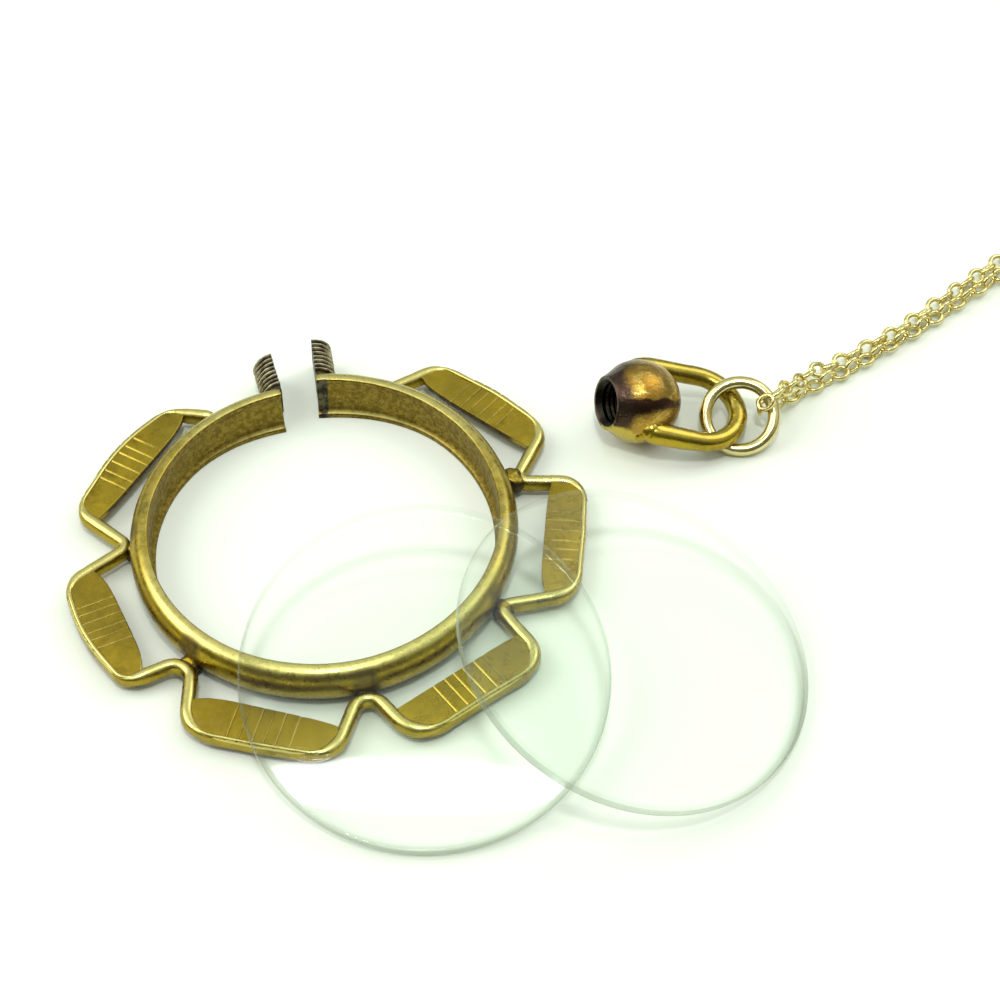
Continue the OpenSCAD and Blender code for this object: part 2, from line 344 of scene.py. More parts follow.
def brassFinish(name, roughness, bumpiness):
    t = brassTones
    f = Finish(name)
    cloud = f.noise(t["clouding"], 4)
    mottle = f.noise(t["mottle"], 4, 0.7, seed=3.0)
    grain = f.noise(t["grain"], 3, 0.7, seed=7.0)
    speckle = f.noise(t["speckle"], 5, 0.8, seed=11.0)
    stain = f.noise(t["staining"], 5, 0.72, seed=17.0)
    grimeAndShade = f.painted("grimeAndShade")
    wearAndHighlight = f.painted("wearAndHighlight")
    wallTarnishAndShade = f.painted("wallTarnishAndShade")
    core = f.painted("core")
    tone = f.mix(cloud.over(*t["cloudRange"]), t["aged"], t["olive"])
    tone = f.mix(stain.over(*t["stainRange"]) * t["stainShare"], tone, t["brown"])
    wallTone = f.mix(speckle.over(*t["speckleRange"]), t["brown"], t["tan"])
    tone = f.mix(wallTarnishAndShade.over(*t["wallRange"]), tone, wallTone)
    # the painted wear value holds wear and painted highlight; it lightens the brass toward the worn, bright
    # tone
    tone = f.mix((wearAndHighlight * (0.55 + mottle)).over(*t["wearHighlightRange"]), tone, t["wornAndHighlight"])
    # the painted grime value holds dirt and painted shade; this mask darkens the brass toward the dark tone
    soot = (grimeAndShade * (0.5 + mottle)).over(*t["grimeShadeRange"])
    tone = f.mix(soot * t["grimeShadeShare"], tone, t["dark"])
    coreTone = f.mix(mottle.over(*t["speckleRange"]), t["coreDark"], t["coreLight"])
    tone = f.mix((core + (mottle - 0.5) * t["coreSpread"]).over(*t["coreRange"]), tone, coreTone)
    low, high = roughness
    dulled = mottle.over(*t["dullRange"]) * t["dullMottle"] + soot * t["dullGrimeShade"] + wallTarnishAndShade * t["dullWall"]
    relief = grain * t["bumpGrain"] + mottle * t["bumpMottle"]
    return f.principled(
        Base_Color=tone, Metallic=1.0 - soot * t["grimeShadeMetal"], Roughness=low + (high - low) * dulled,
        Normal=f.bump(relief, t["bumpDepth"], bumpiness),
    )


threadTones = dict(
    bright=(0.66, 0.61, 0.44), dull=(0.3, 0.26, 0.16), dirtAndShade=(0.045, 0.036, 0.027), mottle=1800,
    dullRange=(0.4, 0.65), dirtShadeRange=(0.3, 1.0), dirtShadeSpread=0.6, metallic=0.9, rough=0.32, uneven=0.25,
    bumpDepth=0.00005, bumpiness=0.6,
)


def postFinish():
    t = threadTones
    f = Finish("greyThread")
    mottle = f.noise(t["mottle"], 4, 0.7)
    # the painted grime value holds dirt and painted shade; this mask darkens the thread toward the dark
    # tone
    dirtAndShade = f.painted("grimeAndShade") + (mottle - 0.5) * t["dirtShadeSpread"]
    tone = f.mix(mottle.over(*t["dullRange"]), t["bright"], t["dull"])
    tone = f.mix(dirtAndShade.over(*t["dirtShadeRange"]), tone, t["dirtAndShade"])
    return f.principled(
        Base_Color=tone, Metallic=t["metallic"], Roughness=t["rough"] + mottle * t["uneven"],
        Normal=f.bump(mottle, t["bumpDepth"], t["bumpiness"]),
    )


ballTones = dict(
    orange=(0.43, 0.235, 0.035), ochre=(0.34, 0.215, 0.045), ochreRange=(0.4, 0.62),
    clouding=330, mottle=1100, blotches=520, streaks=700, streakStretch=(1, 4, 4), drift=0.9,
    streak=(0.56, 0.39, 0.09), streakRange=(0.52, 0.7),
    # stains and a painted highlight, in the order in which they cover one another: painted value, drift,
    # range and tone
    stains=[
        # the line is a painted highlight, a bright jagged streak, not a stain
        ("line", 1.6, (0.6, 0.95), (0.74, 0.56, 0.2)),
        ("band", 1.0, (0.25, 0.75), (0.06, 0.028, 0.016)),
        ("mouth", 1.0, (0.25, 0.85), (0.07, 0.042, 0.03)),
        ("solder", 1.2, (0.3, 0.75), (0.52, 0.40, 0.06)),
    ],
    # the bore's tone is painted shade, almost black inside the hole
    bore=(0.016, 0.014, 0.01), boreRange=(0.3, 0.7), boreSpread=0.3,
    metallic=0.95, rough=0.16, uneven=0.2, bumpDepth=0.0001, bumpiness=0.6,
)


def ballFinish():
    t = ballTones
    f = Finish("heatStainedBall")
    cloud = f.noise(t["clouding"], 4)
    mottle = f.noise(t["mottle"], 5, 0.75, seed=2.0)
    blotch = f.noise(t["blotches"], 4, 0.7, seed=5.0)
    streaks = f.noise(t["streaks"], 4, 0.7, stretch=t["streakStretch"], seed=9.0)
    drift = (mottle - 0.5) * t["drift"] + (blotch - 0.5) * t["drift"]
    tone = f.mix(cloud.over(*t["ochreRange"]), t["orange"], t["ochre"])
    tone = f.mix((blotch + (streaks - 0.5)).over(*t["streakRange"]), tone, t["streak"])
    for name, share, spread, stain in t["stains"]:
        tone = f.mix((f.painted(name) + drift * share).over(*spread), tone, stain)
    bore = f.painted("bore") + (mottle - 0.5) * t["boreSpread"]
    tone = f.mix(bore.over(*t["boreRange"]), tone, t["bore"])
    return f.principled(
        Base_Color=tone, Metallic=t["metallic"], Roughness=t["rough"] + mottle * t["uneven"],
        Normal=f.bump(mottle + blotch + streaks * 0.5, t["bumpDepth"], t["bumpiness"]),
    )


goldTones = dict(
    ring=dict(bright=(0.76, 0.66, 0.31), dull=(0.60, 0.50, 0.2), rough=0.14),
    chain=dict(bright=(0.82, 0.72, 0.33), dull=(0.66, 0.55, 0.2), rough=0.16),
    mottle=1200, dullRange=(0.4, 0.7), uneven=0.12, bumpDepth=0.00003, bumpiness=0.4,
)


def goldFinish(name, spec):
    t = goldTones
    f = Finish(name)
    mottle = f.noise(t["mottle"], 3)
    tone = f.mix(mottle.over(*t["dullRange"]), spec["bright"], spec["dull"])
    return f.principled(
        Base_Color=tone, Metallic=1.0, Roughness=spec["rough"] + mottle * t["uneven"],
        Normal=f.bump(mottle, t["bumpDepth"], t["bumpiness"]),
    )


glassTones = dict(
    through=(0.981, 0.998, 0.982, 1), dim=(0.50, 0.53, 0.47, 1), pale=(0.72, 0.76, 0.68, 1), paleShare=0.38,
    gloss=(1, 1, 1, 1), glossRoughness=0.03, straightOn=0.008, grazing=0.8, falloff=5.0,
    dust=900, dustRange=(0.6, 0.9), dustSheen=0.008,
)


def glassFinish():
    t = glassTones
    f = Finish("clearGlass")
    edge = f.painted("edge")
    shadowRay = f.node("ShaderNodeLightPath", {}, {}, "Is Shadow Ray")
    dust = f.noise(t["dust"], 5, 0.75)
    facing = f.node("ShaderNodeLayerWeight", {}, {"Blend": 0.5}, "Facing")
    through = f.node("ShaderNodeBsdfTransparent", {}, {"Color": t["through"]})
    dim = f.node("ShaderNodeBsdfTransparent", {}, {"Color": t["dim"]})
    pale = f.node("ShaderNodeBsdfTranslucent", {}, {"Color": t["pale"]})
    rim = f.node("ShaderNodeMixShader", {}, {0: t["paleShare"], 1: dim, 2: pale})
    # a real rim bends light away and so leaves a soft shadow
    darker = edge + shadowRay * f.painted("shade")
    clear = f.node("ShaderNodeMixShader", {}, {0: darker, 1: through, 2: rim})
    gloss = f.node("ShaderNodeBsdfGlossy", {}, {"Color": t["gloss"], "Roughness": t["glossRoughness"]})
    sheen = t["straightOn"] + t["grazing"] * facing ** t["falloff"]
    sheen += dust.over(*t["dustRange"]) * t["dustSheen"]
    return f.surface(f.node("ShaderNodeMixShader", {}, {0: sheen, 1: clear, 2: gloss}))


agedBrass = brassFinish("agedBrass", (0.24, 0.52), 0.4)
bailBrass = brassFinish("bailBrass", (0.2, 0.36), 0.3)
greyThread = postFinish()
heatBall = ballFinish()
paleGold = goldFinish("paleGold", goldTones["ring"])
chainGold = goldFinish("chainGold", goldTones["chain"])
clearGlass = glassFinish()


def finishPiece(ob, material, slot, *nodes):
    ob.data.materials.clear()
    ob.data.materials.append(material)
    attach(ob, "root")
    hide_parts(*nodes)
    print("piece", ob.name, len(ob.data.polygons))


# The sprung bezel ring

bezel = dict(
    lip=13.4, bandWidth=1.6, lipWidth=0.3, height=3.6, lean=0.3, channel=0.4, channelEdge=0.4,
    # how the lips' and the channel's corners are rounded: across and along, in steps
    topRound=[(0.1, 0), (0.02, 0.05), (0, 0.14)], footRound=[(0, 0.12), (0.02, 0.04), (0.1, 0)],
    lipEdge=(0.06, 0.08), channelRound=[(0.12, 0.12), (0.03, 0.4), (0, 0.8)],
    # where each arc of the bent ring starts, and how much wider it is than the lip
    arcs=[(108, -0.3), (150, 0.2), (215, -0.6), (305, 0.7), (395, -0.2)],
    lastAngle=455, firstCentre=Vector((-0.17, -0.11, 0)), stepAngle=1.5,
    gapAngle=101, endLean=0.6, leanReach=50, coreAngle=2.7,
    wallGrime=0.2, underShade=0.7, footDirtAndShade=0.4, jointGrime=0.7, wearHighlightLeast=0.45, wearHighlightMore=0.3,
    lumps=(3.5, 0.05),
)

# where the border is soldered on: angle, radius, size and height of each blob, and how far its soot spreads
solder = dict(
    spots=[
        (-175, 14.95, 0.72, 0.85), (-128.5, 15.05, 0.85, 0.75), (-76.3, 14.95, 0.75, 0.75),
        (-26.5, 14.95, 0.85, 0.95), (22.5, 15.1, 1.0, 1.1), (129.5, 15.0, 0.62, 0.8),
        (74.5, 15.1, 0.66, 0.8),
    ],
    sootReach=1.7, sootFade=1.1, tallness=1.05, grimeAndShade=(0.95, 0.4), lumps=(0.7, 0.4, 3),
)


def soot(p):
    nearest = min((p - polar(r, a, p.z)).length for a, r, _, _ in solder["spots"])
    return fade(solder["sootReach"] - nearest, 0, solder["sootFade"])


def ringSection(lip):
    # the ring cut through: the round bead outside, and the channel between its two lips inside
    b = bezel
    mid = b["height"] / 2
    wide = b["bandWidth"] - b["lipWidth"]
    top, low = b["height"], b["channelEdge"]
    points = []
    for a in range(-90, 91, 9):
        points.append((lip + b["lipWidth"] + wide * math.cos(rad(a)), mid + mid * math.sin(rad(a))))
    edge, step = b["lipEdge"]
    deep = lip + b["channel"]
    points += [(lip + x, top - z) for x, z in b["topRound"]]
    points += [(lip, top - low + step), (lip + edge, top - low)]
    points += [(deep - x, top - low - z) for x, z in b["channelRound"]]
    points += [(deep - x, low + z) for x, z in reversed(b["channelRound"])]
    points += [(lip + edge, low), (lip, low - step)]
    points += [(lip + x, z) for x, z in b["footRound"]]
    return [(x + b["lean"] * (z / top - 1), z) for x, z in points]


def arcCentres():
    # each arc runs on from the last without a kink
    b = bezel
    centres = [b["firstCentre"]]
    for (_, before), (start, now) in zip(b["arcs"], b["arcs"][1:]):
        centres.append(centres[-1] + polar(before - now, start))
    return centres


def makeRing():
    b = bezel
    centres = arcCentres()
    start, wider = b["arcs"][0]
    ob = drawLine("bezelRing", [centres[0] + polar(x, start, z) for x, z in ringSection(b["lip"] + wider)])
    ends = [a for a, _ in b["arcs"][1:]] + [b["lastAngle"]]
    for centre, (a, _), end in zip(centres, b["arcs"], ends):
        steps = round((end - a) / b["stepAngle"])
        bpy.ops.mesh.spin(steps=steps, angle=rad(end - a), center=centre, axis=(0, 0, -1))
    cleanUp(ob, closeHoles=True)
    for v in ob.data.vertices:      # the sprung ends lean out at the top
        away = abs((math.degrees(math.atan2(v.co.y, v.co.x)) - b["gapAngle"] + 180) % 360 - 180)
        lean = b["endLean"] * fade(b["leanReach"] - away, 0, b["leanReach"])
        v.co -= Vector((v.co.x, v.co.y, 0)).normalized() * lean * (1 - v.co.z / b["height"])
    lumps(ob, *b["lumps"])
    settle(ob, 50)

    def inward(p, n):
        return fade(-n.dot(Vector((p.x, p.y, 0)).normalized()), 0.2, 0.8)

    def core(p, n):
        last = (b["lastAngle"] - math.degrees(math.atan2(p.y, p.x)) + 180) % 360 - 180
        bare = max(inward(p, n), fade(abs(n.x), 0.8, 0.95))
        return fade(b["coreAngle"] - last, 0, 0.8) * (last > -2) * bare

    # tarnish on the inner wall, painted shade on the faces that look down, dirt and painted shade low on
    # the outside, and soot by the joints
    def grimeAndShade(p, n):
        outside = 1 - inward(p, n)
        under = fade(-n.z, 0.0, 0.7) * b["underShade"] + fade(1.3 - p.z, 0, 1.3) * b["footDirtAndShade"] * outside
        joint = soot(p) * b["jointGrime"] * outside * fade(1.25 - n.z, 0, 0.6)
        return min(1.0, inward(p, n) * b["wallGrime"] + under + joint)

    def wearAndHighlight(p, n):
        # wear and a painted highlight on the upward faces: most on the near and the far bow, least at the
        # sides
        return fade(n.z, 0.45, 0.95) * (b["wearHighlightLeast"] + b["wearHighlightMore"] * fade(abs(p.y - 1), 4, 12))

    paint(ob, "grimeAndShade", grimeAndShade)
    paint(ob, "wallTarnishAndShade", inward)
    paint(ob, "core", core)
    paint(ob, "wearAndHighlight", wearAndHighlight)
    return ob


finishPiece(makeRing(), agedBrass, "frame_brass", "bezel_frame")

# The two halves of the threaded stud

posts = dict(
    radius=1.56, pitch=0.44, middle=1.8, tipBevel=0.14, lumps=(0.9, 0.16),
    # a tooth of the thread, seen from its side: along the post, and out from the core
    tooth=[(0.0, -0.1), (0.33, -0.1), (0.28, 0.05), (0.20, 0.24), (0.12, 0.24), (0.05, 0.05)],
    left=dict(angle=107, lean=-0.5, foot=13.9, shank=14.6, tip=18.1, keep=1),
    right=dict(angle=455, lean=4, foot=13.9, shank=14.9, tip=18.1, keep=-1),
)


def halve(ob, keep):
    # cuts a stud along its length and closes the flat
    pick(ob)
    editMode()
    selectAll()
    bpy.ops.mesh.bisect(
        plane_co=(0, 0, 0), plane_no=(0, 1, 0), use_fill=True, clear_inner=keep > 0, clear_outer=keep < 0
    )
    editMode(False)


def makePost(name, spec, centre):
    p = posts
    core = p["radius"] - max(out for _, out in p["tooth"])
    long = spec["tip"] - spec["foot"]
    deselectAll()
    bpy.ops.mesh.primitive_cylinder_add(
        vertices=48, radius=core, depth=long,
        location=(spec["foot"] + long / 2, 0, 0), rotation=(0, rad(90), 0),
    )
    shaft = named(name)
    bpy.ops.object.transform_apply()
    useModifier(shaft, "BEVEL", width=p["tipBevel"], segments=2, limit_method="ANGLE")
    halve(shaft, spec["keep"])
    turns = int((spec["tip"] - spec["shank"]) / p["pitch"]) + 1
    tooth = drawLine(name + "Thread", [Vector((along, 0, core + out)) for along, out in p["tooth"]])
    editMode(False)
    useModifier(
        tooth, "SCREW", axis="X", angle=rad(360), screw_offset=p["pitch"], iterations=turns,
        steps=40, render_steps=40, use_merge_vertices=True, merge_threshold=0.001,
    )
    cleanUp(tooth)
    place(tooth, (spec["shank"] - p["pitch"], 0, 0), turned(90 * spec["keep"], "X"))
    halve(tooth, spec["keep"])
    cleanUp(tooth, closeHoles=True)
    ob = joinUp(name, [shaft, tooth])
    lumps(ob, *p["lumps"])
    leaning = spec["angle"] + spec["lean"]
    base = centre + polar(spec["foot"], spec["angle"]) - polar(spec["foot"], leaning)
    place(ob, base + Vector((0, 0, p["middle"])), turned(leaning, "Z"))
    settle(ob, 40)
    axis = polar(1, leaning)

    # darker in the thread's valleys, at the foot and at the tip, with painted shade on the faces that look
    # down
    def grimeAndShade(q, n):
        q = q - base
        along = q.dot(axis)
        off = (q - axis * along - Vector((0, 0, p["middle"]))).length
        valley = 0.95 * fade(p["radius"] - 0.01 - off, 0, 0.18)
        foot = 0.5 * fade(spec["shank"] + 0.9 - along, 0, 1.2)
        tip = 0.35 * fade(along - spec["tip"] + 0.5, 0, 0.5)
        return max(valley, fade(0.2 - n.z, 0, 0.8) * 0.5, foot + tip)

    paint(ob, "grimeAndShade", grimeAndShade)
    return ob


leftPost = makePost("leftPost", posts["left"], arcCentres()[0])
rightPost = makePost("rightPost", posts["right"], arcCentres()[-1])
for post in (leftPost, rightPost):
    finishPiece(post, greyThread, "frame_brass", "bezel_frame")

# The folded ribbon border

border = dict(
    # for each lobe: the valley before it (radius, angle) and its bend, the way the lobe faces, its inner
    # edge's radius, its outer corners (radius, angle) and their rounding, its first cut and their spacing
    lobes=[
        dict(valley=(15.4, 129), bend=0, facing=151, inner=15.65,
             corners=[(18.4, 136.5), (19.05, 153), (19.6, 174.5)], rounding=(2.0, 2.1), cuts=(-0.6, 0.93)),
        dict(valley=(14.9, -175), bend=0.7, facing=-154, inner=16.6,
             corners=[(20.1, -166), (20.25, -151), (20.0, -134.5)], rounding=(2.2, 1.5), cuts=(-1.3, 0.82)),
        dict(valley=(14.6, -129), bend=1.3, facing=-104, inner=16.55,
             corners=[(20.6, -117.7), (19.9, -102), (20.5, -85.3)], rounding=(2.8, 2.4), cuts=(-1.5, 0.9)),
        dict(valley=(14.1, -76.6), bend=1.2, facing=-51.5, inner=16.2,
             corners=[(20.3, -68.8), (19.4, -51.3), (20.4, -34)], rounding=(2.7, 2.6), cuts=(-2.2, 0.88)),
        dict(valley=(14.4, -27), bend=0.65, facing=-4, inner=16.33,
             corners=[(19.75, -16.1), (19.55, 1), (20.6, 17.1)], rounding=(2.6, 2.1), cuts=(-1.0, 0.95)),
        dict(valley=(15.2, 21.6), bend=0.65, facing=52, inner=16.27,
             corners=[(20.05, 33.2), (19.5, 49), (19.55, 65.8)], rounding=(2.7, 2.2), cuts=(-3.1, 0.87)),
    ],
    lastEnd=(15.6, 75), outerFillet=15, cornerSteps=8, innerRise=0.65, innerPower=5, innerSteps=18,
    ribbonWidth=0.5, ribbonHeight=1.3, ribbonMiddle=1.05,
    barWidth=1.08, barHeight=1.36, barTop=1.78, barEnd=0.5, barTaper=(0.3, 2.6),
    barSink=0.02, knobEnd=0.7, knobTaper=(0, 0.25), wearAndHighlight=0.85, lumps=(1.6, 0.08),
    plateTop=1.62, plateThick=0.5, plateEdge=0.13, footGap=0.55, tongue=17,
    cutCount=6, cutDepth=0.07, cutHalf=0.1, cutDrift=0.07, cutWearAndHighlight=0.62,
)


def roundCorner(p, q, s, r):
    # the corner at q between p and s, rounded to radius r
    steps = border["cornerSteps"]
    back, ahead = (p - q).normalized(), (s - q).normalized()
    half = back.angle(ahead) / 2
    centre = q + (back + ahead).normalized() * r / math.sin(half)
    first, last = q + back * r / math.tan(half) - centre, q + ahead * r / math.tan(half) - centre
    a0 = math.atan2(first.y, first.x)
    turn = (math.atan2(last.y, last.x) - a0 + 3 * math.pi) % (2 * math.pi) - math.pi
    return [
        centre + Vector((r * math.cos(a0 + turn * i / steps), r * math.sin(a0 + turn * i / steps), 0))
        for i in range(steps + 1)
    ]


def valleyPoint(i):
    lobes = border["lobes"]
    return polar(*(lobes[i]["valley"] if i < len(lobes) else border["lastEnd"]))


def lobeCorners(i, reach=0.0):
    # the lobe's outer corners, moved out by reach
    corners = border["lobes"][i]["corners"]
    widen = [-math.degrees(reach / corners[0][0]), 0, math.degrees(reach / corners[2][0])]
    return [polar(r + reach, a + w) for (r, a), w in zip(corners, widen)]


def thin(points, least=0.12):
    # drops points that lie too close together
    out = [points[0]]
    for p in points[1:]:
        if (p - out[-1]).length > least:
            out.append(p)
    return out


def spaced(line, gap=0.6):
    # the same line with its points about a gap apart
    out = []
    for a, q in zip(line, line[1:]):
        parts = max(1, round((q - a).length / gap))
        out += [a.lerp(q, k / parts) for k in range(parts)]
    return thin(out + [line[-1]])


def ribbonCorners(i):
    # points and rounding of the ribbon's middle line round one lobe
    half = border["ribbonWidth"] / 2
    first, last = border["lobes"][i]["rounding"]
    return lobeCorners(i, -half), first - half, last - half


def valleyBend(i):
    before, after = ribbonCorners(i - 1)[0][2], ribbonCorners(i)[0][0]
    return roundCorner(before, valleyPoint(i), after, border["lobes"][i]["bend"])


def rimPath():
    # the ribbon's middle line from one free end to the other
    count = len(border["lobes"])
    line = [valleyPoint(0)]
    for i in range(count):
        c, first, last = ribbonCorners(i)
        if i:
            line += valleyBend(i)
        line += roundCorner(valleyPoint(i), c[0], c[1], first)
        line += roundCorner(c[0], c[1], c[2], border["outerFillet"])
        line += roundCorner(c[1], c[2], valleyPoint(i + 1), last)
    return spaced(line + [valleyPoint(count)])


def barPaths():
    # the rounded folds between the lobes, and the two free ends
    count = len(border["lobes"])
    bars = []
    for i in range(count + 1):
        start, finish = [], []
        if i:
            c, _, last = ribbonCorners(i - 1)
            start = roundCorner(c[1], c[2], valleyPoint(i), last)
        if i < count:
            c, first, _ = ribbonCorners(i)
            finish = roundCorner(valleyPoint(i), c[0], c[1], first)
        fold = valleyBend(i) if start and finish else [valleyPoint(i)]
        bars.append((spaced(start + fold + finish, 0.4), not start, not finish))
    return bars


def makeBorder():
    b = border
    rim = [Vector((p.x, p.y, b["ribbonMiddle"])) for p in rimPath()]
    obs = [sweep("ribbonBorder", rim, oval(b["ribbonWidth"], b["ribbonHeight"], 20, 2.4))]
    for path, freeStart, freeEnd in barPaths():
        lengths = [0.0]
        for p, q in zip(path, path[1:]):
            lengths.append(lengths[-1] + (q - p).length)

        def swell(run, free):
            # a free end is a blunt knob, a fold runs out thin along its lobe
            if free:
                return b["knobEnd"] + (1 - b["knobEnd"]) * fade(run, *b["knobTaper"])
            return b["barEnd"] + (1 - b["barEnd"]) * fade(run, *b["barTaper"])

        radii = [min(swell(run, freeStart), swell(lengths[-1] - run, freeEnd)) for run in lengths]
        line = []
        for p, size in zip(path, radii):
            sunk = (b["barTop"] - b["plateTop"] - b["barSink"]) * (1 - size) / (1 - b["barEnd"])
            line.append(Vector((p.x, p.y, b["barTop"] - sunk - b["barHeight"] / 2 * size)))
        obs.append(sweep("fold", line, oval(b["barWidth"], b["barHeight"], 20, 2.2), radii))
    ob = joinUp("ribbonBorder", obs)
    lumps(ob, *b["lumps"])
    settle(ob, 50)

    def grimeAndShade(p, n):
        # painted shade on the underside, and darker where the folds meet the ring
        return min(1.0, fade(0.2 - n.z, 0, 0.8) * 0.5 + fade(15.5 - p.xy.length, 0, 0.9) * 0.6)

    paint(ob, "grimeAndShade", grimeAndShade)
    # wear and a painted highlight along the ribbon's top
    paint(ob, "wearAndHighlight", lambda p, n: b["wearAndHighlight"] * fade(n.z, 0.35, 0.85) * fade(p.z, 1.3, 1.6))
    return ob


def plateOutline(i):
    # the whole lobe, out to the ribbon's far side
    b = border
    lobe = b["lobes"][i]
    c = lobeCorners(i)
    outward, sideways = polar(1, lobe["facing"]), polar(1, lobe["facing"] + 90)
    first, last = lobe["rounding"]
    foot = []
    for corner, valley in ((c[0], valleyPoint(i)), (c[2], valleyPoint(i + 1))):
        share = (corner.dot(outward) - lobe["inner"]) / (corner - valley).dot(outward)
        foot.append(corner.lerp(valley, share))
    across = (foot[1] - foot[0]).normalized() * b["footGap"]
    foot = [foot[0] + across, foot[1] - across]
    for k, (corner, radius) in enumerate(((c[0], first), (c[2], last))):
        side = corner - foot[k]
        free = side.length - radius / math.tan(side.angle(corner - c[1]) / 2)
        foot[k] += side.normalized() * min(b["innerRise"], max(0.0, 0.9 * free))
    inner = []
    for k in range(b["innerSteps"] + 1):
        t = k / b["innerSteps"]
        along = foot[1].lerp(foot[0], t)
        rise = foot[0 if t > 0.5 else 1].dot(outward) - lobe["inner"]
        level = lobe["inner"] + rise * abs(2 * t - 1) ** b["innerPower"]
        inner.append(along + outward * (level - along.dot(outward)))
    return (
        roundCorner(foot[0], c[0], c[1], first)
        + roundCorner(c[0], c[1], c[2], b["outerFillet"])
        + roundCorner(c[1], c[2], foot[1], last)
        + inner
    ), sideways


def cutSpots(i):
    b = border
    start, pitch = b["lobes"][i]["cuts"]
    return [start + k * pitch + b["cutDrift"] * math.sin(2.1 * k + 1.7 * i) for k in range(b["cutCount"])]


def makePlate(i):
    b = border
    outline, sideways = plateOutline(i)
    ob = drawLine("plate%d" % i, thin([Vector((p.x, p.y, b["plateTop"])) for p in outline], 0.08))
    bpy.ops.mesh.edge_face_add()
    bpy.ops.mesh.extrude_region_move(TRANSFORM_OT_translate={"value": (0, 0, -b["plateThick"])})
    cleanUp(ob)
    useModifier(ob, "BEVEL", width=b["plateEdge"], segments=4, limit_method="ANGLE", angle_limit=rad(50))
    pick(ob)
    editMode()
    spots = cutSpots(i)
    for spot in spots:
        for side in (-1, 0, 1):
            selectAll()
            bpy.ops.mesh.bisect(plane_co=sideways * (spot + side * b["cutHalf"]), plane_no=sideways)
    editMode(False)
    bpy.context.tool_settings.mesh_select_mode = (True, False, False)
    low = b["plateTop"] - b["plateEdge"] - 0.05
    for v in ob.data.vertices:
        v.select = v.co.z > low and min(abs(v.co.dot(sideways) - spot) for spot in spots) < 0.01
    # the cuts' edges are painted bright: wear and a painted highlight
    marks = ob.data.attributes.new("wearAndHighlight", "FLOAT", "POINT")
    marks.data.foreach_set("value", [b["cutWearAndHighlight"] * v.select for v in ob.data.vertices])
    editMode()
    bpy.ops.transform.translate(value=(0, 0, -b["cutDepth"]))
    editMode(False)
    return ob


def makePlates():
    tongue = border["tongue"]
    ob = joinUp("lobePlates", [makePlate(i) for i in range(len(border["lobes"]))])
    settle(ob, 28)
    marks = [m.value for m in ob.data.attributes["wearAndHighlight"].data]
    normals = [v.vector.copy() for v in ob.data.vertex_normals]
    for i, (v, n) in enumerate(zip(ob.data.vertices, normals)):
        p = v.co * mmPerMetre
        # the raised outer rim is painted bright: wear and a painted highlight
        outer = fade(p.xy.length, tongue, tongue + 0.8) * fade(p.z, 1.42, 1.5) * fade(0.97 - n.z, 0, 0.2)
        marks[i] = max(marks[i], outer)
    ob.data.attributes["wearAndHighlight"].data.foreach_set("value", marks)
    # painted shade on the plates' sides and undersides, deepest near the ring
    paint(ob, "grimeAndShade", lambda p, n: fade(0.5 - n.z, 0, 0.5) * (0.9 if p.xy.length < tongue else 0.25))
    # painted shade: the two near left plates are browner and darker
    paint(ob, "wallTarnishAndShade", lambda p, n: 0.4 * fade(-p.y - 0.9 * p.x, 12, 18))
    return ob


def makeSolder():
    blobs = []
    for a, r, size, height in solder["spots"]:
        blobs.append(blob("solder%d" % len(blobs), polar(r, a, height), size))
        blobs[-1].scale = (1, 1, solder["tallness"])
        bpy.ops.object.transform_apply()
    ob = joinUp("solderJoints", blobs)
    lumps(ob, *solder["lumps"])
    settle(ob, 60)
    most, least = solder["grimeAndShade"]
    # painted shade: the blobs are darker on their sides than on top
    paint(ob, "grimeAndShade", lambda p, n: most - (most - least) * fade(n.z, 0.5, 1))
    paint(ob, "wearAndHighlight", lambda p, n: 0.0)
    return ob


for part in (makeBorder(), makePlates(), makeSolder()):
    finishPiece(part, agedBrass, "frame_brass", "bezel_frame")

# The two glasses

glasses = dict(
    radius=13.3, thick=0.9, bevel=0.16, bands=(0.35, 0.5),
    lowerEdge=0.8, innerEdge=0.2, sideEdge=0.6, farShadeShare=0.14, shade=0.9,
    front=dict(place=(7.78, -14.49), uphill=97, tilt=14.3),
    back=dict(place=(22.64, -12.53), uphill=167, tilt=18.2),
)


